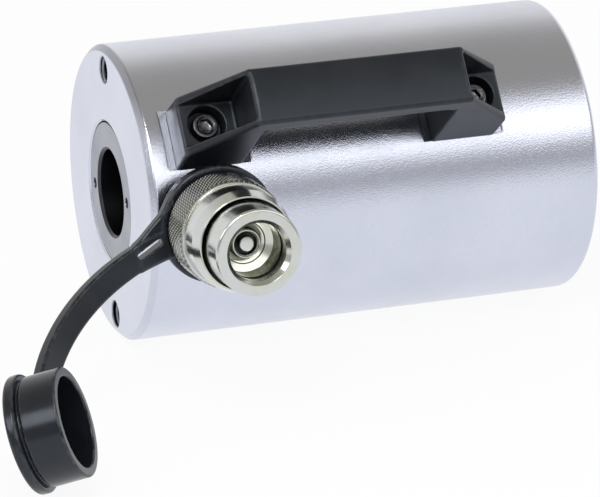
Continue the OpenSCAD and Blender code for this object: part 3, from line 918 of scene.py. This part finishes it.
def make_tube():
    tube = turned_piece(
        "tube",
        [
            (HOLE_R, HEAD_SINK + BORE_CHAMFER, 0.2),
            (HOLE_R + BORE_CHAMFER, HEAD_SINK, 0.2),
            (HEAD_R, HEAD_SINK, 0.6),
            (HEAD_R, HEAD_X, 0),
            (TUBE_R, HEAD_X, 0),
            (TUBE_R, TUBE_TOP, 0.7),
            (HOLE_R, TUBE_TOP, 0.4),
        ],
        ALONG_BODY,
        "cylinder",
        "tube_steel",
        ["center_tube"],
    )
    hole = [
        (0, -1),
        (SPANNER_R + 1, -1),
        (SPANNER_R, HEAD_SINK + 0.25),
        (SPANNER_R, SPANNER_DEPTH),
        (0, SPANNER_DEPTH),
    ]
    cut(tube, [round_cutter(hole, spanner_frame(turn), 40) for turn in SPANNER_TURNS])
    mark(tube, "dark", tube_shade, ALONG_BODY)
    for turn in SPANNER_TURNS:
        mark(tube, "dark", spanner_hole_shade, spanner_frame(turn))
    shade(tube)


def tube_shade(r, h):
    """Painted shade in the bore, on its chamfer and round the rim of the head."""
    bore = 0.9 * ((r < HOLE_R + NEAR) & (h > HEAD_SINK + BORE_CHAMFER))
    chamfer = 0.85 * ((r < HOLE_R + BORE_CHAMFER + 0.03) & (h < HEAD_X))
    rim = (r > HEAD_R - 0.35) & (h < HEAD_X + 0.1)
    return np.maximum(np.maximum(bore, chamfer), rim)


# Painted shade inside a spanner hole of the tube's head
def spanner_hole_shade(r, h):
    return (r < SPANNER_R + NEAR) & (h > HEAD_SINK + 0.3)


# Plunger end


def make_saddle():
    bore = HOLE_R + 0.4
    rim = PLUNGER_R - 0.8
    mid = (bore + rim) / 2
    groove = 1.0
    saddle = turned_piece(
        "saddle_ring",
        [
            (bore, ROD_TOP - BOSS_LEN + 0.3, 0.2),
            (BOSS_R, ROD_TOP - BOSS_LEN + 0.3, 0.2),
            (BOSS_R, ROD_TOP, 0),
            (rim, ROD_TOP, 0.2),
            (rim, SADDLE_TOP, 0.8),
            (mid + groove, SADDLE_TOP, 0.15),
            (mid, SADDLE_TOP - groove, 0.15),
            (mid - groove, SADDLE_TOP, 0.15),
            (bore, SADDLE_TOP, 0.8),
        ],
        ALONG_BODY,
        "plunger",
        "saddle_steel",
        ["saddle"],
    )
    shade(saddle)


def make_gland():
    rim = GLAND_R - 0.1
    gland = turned_piece(
        "gland",
        [
            (GLAND_HOLE_R, SKIRT_X, 0.3),
            (SKIRT_R, SKIRT_X, 0.3),
            (SKIRT_R, GLAND_X, 0),
            (rim, GLAND_X, 0),
            (rim, GLAND_TOP, 1.0),
            (GLAND_HOLE_R + 0.6, GLAND_TOP, 0.2),
            (GLAND_HOLE_R, GLAND_TOP - 0.6, 0.1),
            (GLAND_HOLE_R, WIPER_X[1], 0),
            (GLAND_HOLE_R + WIPER_T, WIPER_X[1], 0),
            (GLAND_HOLE_R + WIPER_T, WIPER_X[0], 0),
            (GLAND_HOLE_R, WIPER_X[0], 0),
            (GLAND_HOLE_R, BEARING_X[1], 0),
            (GLAND_HOLE_R + BEARING_T, BEARING_X[1], 0),
            (GLAND_HOLE_R + BEARING_T, BEARING_X[0], 0),
            (GLAND_HOLE_R, BEARING_X[0], 0),
        ],
        ALONG_BODY,
        "cylinder",
        "gland_steel",
        ["gland_nut"],
    )
    mouth = PIN_HOLE_DEPTH - 0.3
    hole = [(0, 0), (PIN_HOLE_R, 0), (PIN_HOLE_R, mouth), (PIN_HOLE_R + 1, mouth + 1), (0, mouth + 1)]
    foot = shift(GLAND_TOP - PIN_HOLE_DEPTH, 0, GLAND_R - PIN_HOLE_INSET) @ ALONG_BODY
    cut(gland, [round_cutter(hole, rotation(45 + 90 * i, "X") @ foot, 40) for i in range(4)])
    shade(gland)


def coil(mean_r, wire_r, coils, length, steps=40, sides=14):
    """Points and faces of a wire coil on z = 0 with one closed turn at each end."""
    closed = 2 * wire_r + 0.2
    pitch = (length - 2 * wire_r - 2 * closed) / coils
    rows = int((coils + 2) * steps)
    points = []
    for i in range(rows + 1):
        t = i / steps
        rise = closed * min(t, 1) + pitch * min(max(t - 1, 0), coils) + closed * max(t - 1 - coils, 0)
        a = 2 * math.pi * t
        for j in range(sides):
            b = 2 * math.pi * j / sides
            r = mean_r + wire_r * math.cos(b)
            points.append((r * math.cos(a), r * math.sin(a), wire_r + rise + wire_r * math.sin(b)))
    ends = [tuple(range(sides)), tuple(rows * sides + j for j in range(sides))]
    return points, ring_faces(rows + 1, sides, closed=False) + ends


def make_springs():
    """The return spring and the valve spring."""
    start, end = PISTON_TOP + 0.3, GLAND_X - 0.3
    main = add_piece(
        "main_spring",
        *coil((SKIRT_R + BARREL_R) / 2, SPRING_WIRE_R, SPRING_COILS, end - start),
        shift(start) @ ALONG_BODY,
        "cylinder",
        "spring_steel",
        ["return_spring"],
    )
    shade(main)
    bake(main)
    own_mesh(main)
    low, high = GUIDE_H + GUIDE_T + 0.05, POPPET_BACK - 0.3
    small = add_piece(
        "valve_spring",
        *coil(POPPET_SPRING_R, POPPET_WIRE_R, POPPET_COILS, high - low),
        ON_COUPLER @ shift(0, 0, low),
        "cylinder",
        "spring_steel",
        ["poppet_spring"],
    )
    shade(small)
    bake(small)
    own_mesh(small)


# Handle


def handle_shape(points):
    """Bridge handle with an open pocket over each screw."""
    x, y = np.abs(points[..., 0]), np.abs(points[..., 1])
    n = points[..., 2] - FLAT_N
    half = HANDLE_LEN / 2
    run, rise = half - BAR_HALF, HANDLE_H - FOOT_H
    slope = ((x - half) * rise + (n - FOOT_H) * run) / math.hypot(run, rise)
    side = y - (HANDLE_W / 2 - HANDLE_DRAFT * n / HANDLE_H)
    ends = common(slope, x - half, 1.2)
    crown = HANDLE_CROWN * (y / (HANDLE_W / 2)) ** 2
    outline = common(ends, n - HANDLE_H + crown, 1.0)
    whole = common(common(outline, side, 1.6), -n, 0.3)
    gap = common(x - (half - FOOT_LEN), n - (HANDLE_H - BAR_T), FINGER_R)
    whole = without(whole, gap, 1.2)
    pocket = common(BAR_HALF + 0.5 - x, y - POCKET_W / 2 - 0.02 * n, 1.5)
    pocket = common(pocket, POCKET_FLOOR - n, 1.0)
    from_screw = np.hypot(x - SCREW_PITCH / 2, y)
    bore = common(from_screw - SCREW_BORE_R, SCREW_FLOOR - n, 0.6)
    pocket = joined(joined(pocket, bore, 0.5), from_screw - SCREW_R - 0.3, 0.2)
    return without(whole, pocket, 0.7)


def make_handle():
    half = HANDLE_LEN / 2 + 1.5
    side = HANDLE_W / 2 + 1.5
    bridge = moulded_piece(
        "handle_bridge",
        handle_shape,
        (-half, -side, FLAT_N - 1.5),
        (half, side, FLAT_N + HANDLE_H + 1.5),
        0.5,
        ON_HANDLE,
        "cylinder",
        "handle_plastic",
        ["handle"],
    )
    x, _, n = local_points(bridge, ON_HANDLE).T
    in_gap = (np.abs(x) < HANDLE_LEN / 2 - FOOT_LEN + 0.5) & (n < FLAT_N + HANDLE_H - BAR_T + 0.5)
    set_mask(bridge, "matt", in_gap * 0.85)


def make_screws():
    for label, side in (("base", -1), ("end", 1)):
        seat = FLAT_N + SCREW_FLOOR
        top = seat + SCREW_HEAD_H
        place = outward(HANDLE_TURN, HANDLE_X + side * SCREW_PITCH / 2)
        screw = turned_piece(
            "socket_screw_" + label,
            [
                (0, FLAT_N - SCREW_DEPTH, 0),
                (SCREW_R, FLAT_N - SCREW_DEPTH, 0.6),
                (SCREW_R, seat, 0),
                (SCREW_HEAD_R, seat, 0.2),
                (SCREW_HEAD_R, top, 0.7),
                (SOCKET_FLATS / 2 + 1.1, top, 0.2),
                (SOCKET_FLATS / 2 + 0.4, top - 0.35, 0.1),
                (0, top - 0.35, 0),
            ],
            place,
            "cylinder",
            "screw_steel",
            ["handle_screw_" + label],
            segments=96,
        )
        socket_r = SOCKET_FLATS / 2 / math.cos(math.radians(30))
        floor = top - SOCKET_DEPTH
        socket = [(0, floor - 1), (socket_r, floor), (socket_r, top + 1), (0, top + 1)]
        cut(screw, [round_cutter(socket, place, 6)])
        shade(screw)


# Coupler


def knurl_height(a, h):
    """Height of a diamond knurl at an angle and a height, from 0 to 1."""
    per_mm = KNURL_TEETH / (2 * math.pi * KNURL_R)
    around = KNURL_TEETH * a / (2 * math.pi)
    along = h * per_mm * 0.8
    return min(abs(2 * ((around + s * along) % 1) - 1) for s in (-1, 1))


def make_collar():
    """Collar whose knurled band is cut tooth by tooth."""
    steps = 8
    segments = KNURL_TEETH * steps
    bore = VALVE_R + 0.1
    edge = 0.6
    rows = 76
    front_h = COLLAR_H + KNURL_W
    band = [COLLAR_H + edge + (KNURL_W - 2 * edge) * i / rows for i in range(rows + 1)]
    smooth = rounded_outline(
        [
            (KNURL_R - KNURL_DEPTH - 0.3, front_h, 0),
            (COLLAR_R, front_h, 0.2),
            (COLLAR_R, COLLAR_TOP - COLLAR_BEVEL, 0.8),
            (LIP_R + LIP_WALL, COLLAR_TOP, 0.3),
            (LIP_R, COLLAR_TOP, 0.2),
            (LIP_R, COLLAR_FLOOR, 0),
            (bore, COLLAR_FLOOR, 0),
            (bore, COLLAR_H, 0),
        ]
    )
    points = []
    for i in range(segments):
        a = 2 * math.pi * i / segments
        ring = [(KNURL_R - edge, COLLAR_H)]
        ring += [(KNURL_R - KNURL_DEPTH * (1 - knurl_height(a, h)), h) for h in band]
        ring += smooth
        points += [(r * math.cos(a), r * math.sin(a), h) for r, h in ring]
    faces = ring_faces(segments, len(ring), closed=True)
    collar = add_piece(
        "knurled_collar", points, faces, ON_COUPLER, "coupler_collar", "coupler_zinc", ["coupler_collar"]
    )
    mark(collar, "dark", collar_shade, ON_COUPLER)
    shade(collar, 28)


def collar_shade(r, h):
    """Painted shade between the teeth of the knurl and inside the front lip."""
    in_band = (h > COLLAR_H + 0.3) & (h < COLLAR_H + KNURL_W - 0.3) & (r > COLLAR_R)
    teeth = np.clip(2.0 * (KNURL_R - r) / KNURL_DEPTH - 0.5, 0, 0.65)
    lip = (r < LIP_R + NEAR) & (h < COLLAR_TOP - 0.5)
    return np.where(in_band, teeth, lip)


def make_coupler_body():
    nose = turned_piece(
        "coupler_nose",
        [
            (CHAMBER_R + 0.25, VALVE_H, 0),
            (VALVE_R, VALVE_H, 0),
            (VALVE_R, NOSE_H, 0.3),
            (NOSE_R, NOSE_H, 0.4),
            (NOSE_R, REACH, 1.1),
            (MOUTH_R + 1.5, REACH, 0.25),
            (MOUTH_R, REACH - 1.7, 0.25),
            (MOUTH_R, GROOVE_H + GROOVE_W, 0.15),
            (GROOVE_LIP_R, GROOVE_H + GROOVE_W, 0),
            (GROOVE_R, GROOVE_H + GROOVE_W, 0),
            (GROOVE_R, GROOVE_H, 0),
            (GROOVE_LIP_R, GROOVE_H, 0),
            (MOUTH_R, GROOVE_H, 0.2),
            (MOUTH_R, GROOVE_H - 0.8, 0),
            (MOUTH_R, FUNNEL_H, 0.15),
            (SEAT_R, SEAT_H + 0.7, 0.1),
            (SEAT_R, SEAT_H, 0),
            (CHAMBER_R, SEAT_H - CHAMBER_R + SEAT_R, 0),
            (CHAMBER_R, GUIDE_H, 0),
            (CHAMBER_R + 0.25, GUIDE_H, 0),
        ],
        ON_COUPLER,
        "cylinder",
        "coupler_zinc",
        ["coupler_body"],
    )
    mark(nose, "dark", groove_shade, ON_COUPLER)
    mark(nose, "tint", lambda r, h: (r < MOUTH_R + NEAR) & (h < REACH - 3), ON_COUPLER)
    shade(nose)


def groove_shade(r, h):
    """Painted shade in the seal groove of the mouth and at its lips."""
    across = (r > MOUTH_R - 0.1) & (r < GROOVE_R + 0.1)
    return across & (h > GROOVE_H - 0.7) & (h < GROOVE_H + GROOVE_W + 0.1)


def make_poppet():
    face_r = SEAT_R - 0.25
    cone_top = CONE_H + CONE_R - face_r
    face_low = cone_top - 0.1
    well_floor = POPPET_BOSS_TOP - 2.4
    poppet = turned_piece(
        "valve_poppet",
        [
            (0, GUIDE_H - STEM_OVER, 0),
            (STEM_R, GUIDE_H - STEM_OVER, 0.4),
            (STEM_R, POPPET_BACK, 0),
            (CONE_R, POPPET_BACK, 0.2),
            (CONE_R, CONE_H, 0.1),
            (face_r, cone_top, 0),
            (face_r, face_low + 0.8, 0.1),
            (POPPET_BOSS_R + 0.45, face_low, 0.1),
            (POPPET_BOSS_R + 0.35, face_low - 0.7, 0),
            (POPPET_BOSS_R, face_low - 0.7, 0),
            (POPPET_BOSS_R, POPPET_BOSS_TOP, 0.25),
            (POPPET_BOSS_R - 0.4, POPPET_BOSS_TOP, 0.15),
            (PIN_WELL_R, POPPET_BOSS_TOP - 0.7, 0.1),
            (PIN_WELL_R, well_floor, 0),
            (PIN_R, well_floor, 0),
            (PIN_R, PIN_TOP, 0.4),
            (0, PIN_TOP, 0),
        ],
        ON_COUPLER,
        "poppet",
        "coupler_zinc",
        ["poppet"],
        segments=128,
    )
    mark(poppet, "dark", poppet_shade, ON_COUPLER)
    mark(poppet, "tint", lambda r, h: (r > POPPET_BOSS_R + 0.3) & (h > CONE_H), ON_COUPLER)
    shade(poppet)


def poppet_shade(r, h):
    """Painted shade in the groove round the boss and in the well round the pin."""
    groove = (r > POPPET_BOSS_R - NEAR) & (r < POPPET_BOSS_R + 0.4) & (h > CONE_H) & (h < CONE_H + 1.2)
    well = (r < PIN_WELL_R + NEAR) & (r > PIN_R - NEAR) & (h < POPPET_BOSS_TOP - 0.8)
    return groove | well


# Dust cap


def strip(points, thick, width, bends, rounding):
    """Flat strip along the strap's bend, between two bending angles."""
    x, y, z = np.moveaxis(moved(points, IN_BEND), -1, 0)
    out = np.hypot(x, z) - STRAP_BEND_R
    along = np.degrees(np.arctan2(x, -z))
    lean = math.radians(STRAP_LEAN)
    across = np.abs(out * math.cos(lean) + y * math.sin(lean)) - thick / 2
    sideways = np.abs(out * math.sin(lean) - y * math.cos(lean)) - width / 2
    middle, half = (bends[0] + bends[1]) / 2, (bends[1] - bends[0]) / 2
    ends = (np.abs(along - middle) - half) * math.radians(STRAP_BEND_R)
    return common(common(across, sideways, rounding), ends, rounding)


def cap_shape(points):
    """Cup of the cap about Z: flange, waist, barrel and hollow."""
    x, y, z = np.moveaxis(moved(points, AT_CAP), -1, 0)
    r = np.hypot(x, y)
    flange = common(r - FLANGE_R, np.abs(z) - FLANGE_T / 2, 1.2)
    low = FLANGE_T / 2 + CAP_GROOVE
    barrel = common(r - CAP_R, np.abs(z - (low + CAP_TOP) / 2) - (CAP_TOP - low) / 2, 0.8)
    waist = common(r - CAP_WAIST_R, np.abs(z - CAP_TOP / 2) - CAP_TOP / 2 + 1, 0.1)
    cup = joined(joined(flange, waist, 0.4), barrel, 0.4)
    return cup, common(r - CAP_HOLE_R, CAP_FLOOR - z, 1.2)


def slot_shape(x, y):
    """Slot through the strap's root."""
    turn = math.radians(SLOT_TURN)
    east, north = x - SLOT_AT[0], y - SLOT_AT[1]
    along = np.abs(east * math.cos(turn) + north * math.sin(turn)) - SLOT_LEN / 2
    across = np.abs(north * math.cos(turn) - east * math.sin(turn)) - SLOT_W / 2
    return common(along, across, 1.1)


def dust_cap_shape(points):
    """Ring, strap and cap as one moulding."""
    x, y, z = np.moveaxis(points, -1, 0)
    from_axis = np.hypot(x, y)
    ring = common(from_axis - RING_R, np.abs(z - RING_MID) - RING_T / 2, 1.1)
    strap = strip(points, STRAP_T, STRAP_W, (-4, STRAP_BEND + STRAP_BITE), 1.0)
    fork = polygon_distance(
        x,
        y,
        [
            (0, -ROOT_UPPER),
            (ROOT_FROM, -ROOT_UPPER),
            (ROOT_TO, ROOT_DRIFT - STRAP_W / 2),
            (ROOT_TO, ROOT_DRIFT + STRAP_W / 2),
            (ROOT_FROM, ROOT_LOWER),
            (0, ROOT_LOWER),
        ],
    )
    root = common(strip(points, STRAP_T, 4 * ROOT_UPPER, (-6, ROOT_BEND + 4), 0.5), fork, 1.0)
    cup, hollow = cap_shape(points)
    whole = joined(joined(ring, root, 1.2), joined(strap, cup, 1.5), 1.5)
    whole = without(whole, slot_shape(x, y), 0.5)
    whole = without(whole, from_axis - RING_HOLE_R + np.maximum(np.abs(z - RING_MID) - 6, 0), 0.4)
    return without(whole, hollow, 0.6)


def make_dust_cap():
    """The moulding of ring, strap and cap, on a grid a little larger than its solid."""
    solid = local_points(frame["nodes"]["dust_cap"], ON_STRAP)
    moulded_piece(
        "rubber_cap",
        dust_cap_shape,
        solid.min(0) - 2,
        solid.max(0) + 2,
        0.55,
        ON_STRAP,
        "dust_cap",
        "cap_rubber",
        ["dust_cap"],
    )


# CAD nodes that keep their own shape


def paint_nodes():
    slots = {row["node"]: row["material_slot"] for row in frame["record"]["subparts"]}
    for name, node in frame["nodes"].items():
        node.data.materials.clear()
        node.data.materials.append(MATERIALS[slots[name]])


# Studio: levels of the sky by height, lamps in metres

FLOOR_HALF = 6.0
FRONT_SKY = ((0.0, 0.48), (0.3, 0.40), (0.8, 0.36), (1.0, 0.36))
BACK_SKY = ((0.0, 0.95), (0.16, 0.95), (0.5, 0.92), (0.7, 0.60), (0.84, 0.38), (1.0, 0.38))
SKY_TINT = (1.06, 1.0, 0.86)
FLOOR_GLOW = 0.92


def sky_ramp(tree, height, levels):
    """Grey levels by the height of a direction, from the horizon at 0 to overhead at 1."""
    ramp = tree.nodes.new("ShaderNodeValToRGB")
    while len(ramp.color_ramp.elements) < len(levels):
        ramp.color_ramp.elements.new(0.5)
    for element, (at, level) in zip(ramp.color_ramp.elements, levels):
        element.position = at
        element.color = (*(level * (1 + at * (tint - 1)) for tint in SKY_TINT), 1)
    tree.links.new(height, ramp.inputs["Fac"])
    return ramp.outputs["Color"]


def world_light():
    """Plain sky, dim overhead, brighter low down behind the object than in front of it."""
    world = bpy.data.worlds.new("studio")
    bpy.context.scene.world = world
    world.use_nodes = True
    tree = world.node_tree
    sky = tree.nodes["Background"]
    place = tree.nodes.new("ShaderNodeTexCoord")
    split = tree.nodes.new("ShaderNodeSeparateXYZ")
    behind = tree.nodes.new("ShaderNodeMapRange")
    behind.inputs["From Min"].default_value = -0.3
    behind.inputs["From Max"].default_value = 0.3
    mix = tree.nodes.new("ShaderNodeMixRGB")
    tree.links.new(place.outputs["Generated"], split.inputs["Vector"])
    tree.links.new(split.outputs["Y"], behind.inputs["Value"])
    tree.links.new(behind.outputs["Result"], mix.inputs["Fac"])
    tree.links.new(sky_ramp(tree, split.outputs["Z"], FRONT_SKY), mix.inputs["Color1"])
    tree.links.new(sky_ramp(tree, split.outputs["Z"], BACK_SKY), mix.inputs["Color2"])
    tree.links.new(mix.outputs["Color"], sky.inputs["Color"])


def soft_box(name, at, target, width, height, level, in_gloss=True):
    """Area lamp of a given brightness, facing a target."""
    lamp = bpy.data.lights.new(name, "AREA")
    lamp.shape = "RECTANGLE"
    lamp.size = width
    lamp.size_y = height
    lamp.energy = level * math.pi * width * height
    made = show(name, lamp)
    made.location = at
    made.rotation_mode = "QUATERNION"
    made.rotation_quaternion = (Vector(target) - Vector(at)).to_track_quat("-Z", "Y")
    made.visible_camera = False
    made.visible_glossy = in_gloss


def make_lamps():
    """Two wide boxes in front, one at the left, one for the corner at the handle's foot, one overhead."""
    middle = (0.05, -0.03, 0.0)
    foot = (0.01, -0.05, 0.04)
    soft_box("front_box", (0.45, -1.02, 0.735), middle, width=2.2, height=0.58, level=1.1)
    soft_box("front_glow", (0.45, -1.04, 0.75), middle, width=2.4, height=0.86, level=0.32)
    soft_box("left_box", (-0.95, -0.56, 0.64), (-0.05, -0.1, 0.0), width=0.5, height=0.42, level=3.5)
    soft_box("corner_box", (-0.39, -0.78, 1.04), foot, width=0.45, height=0.45, level=8.5)
    soft_box("top_box", (0.0, 0.2, 1.6), (0.05, 0.0, 0.0), width=2.2, height=2.2, level=0.6, in_gloss=False)


def make_floor():
    """Pale floor that keeps the shadow and reads as white."""
    mesh = bpy.data.meshes.new("floor")
    ways = ((-1, -1), (1, -1), (1, 1), (-1, 1))
    mesh.from_pydata([(x * FLOOR_HALF, y * FLOOR_HALF, FLOOR_Z * MM) for x, y in ways], [], [(0, 1, 2, 3)])
    material = bpy.data.materials.new("floor")
    material.use_nodes = True
    tree = material.node_tree
    tree.nodes.clear()
    matt = tree.nodes.new("ShaderNodeBsdfDiffuse")
    matt.inputs["Color"].default_value = (0.80, 0.81, 0.84, 1)
    glow = tree.nodes.new("ShaderNodeEmission")
    glow.inputs["Color"].default_value = (1, 1, 1, 1)
    path = tree.nodes.new("ShaderNodeLightPath")
    seen = path.outputs["Is Camera Ray"]
    for ray in ("Is Glossy Ray", "Is Transmission Ray"):
        seen = combined(tree, "MAXIMUM", seen, path.outputs[ray])
    mix = tree.nodes.new("ShaderNodeMixShader")
    out = tree.nodes.new("ShaderNodeOutputMaterial")
    tree.links.new(combined(tree, "MULTIPLY", seen, FLOOR_GLOW), mix.inputs["Fac"])
    tree.links.new(matt.outputs["BSDF"], mix.inputs[1])
    tree.links.new(glow.outputs["Emission"], mix.inputs[2])
    tree.links.new(mix.outputs["Shader"], out.inputs["Surface"])
    mesh.materials.append(material)
    show("floor", mesh)


def make_camera():
    data = bpy.data.cameras.new("camera")
    data.lens = CAMERA_LENS
    data.sensor_width = CAMERA_SENSOR
    camera = show("camera", data)
    camera.location = CAMERA_AT
    camera.rotation_mode = "QUATERNION"
    camera.rotation_quaternion = CAMERA_FORWARD.to_track_quat("-Z", "Y")
    bpy.context.scene.camera = camera


make_camera()
paint_nodes()
make_body()
make_bolt_threads()
make_tube()
make_saddle()
make_gland()
make_springs()
make_handle()
make_screws()
make_collar()
make_coupler_body()
make_poppet()
make_dust_cap()
world_light()
make_lamps()
make_floor()
bpy.context.scene.view_settings.view_transform = "Standard"
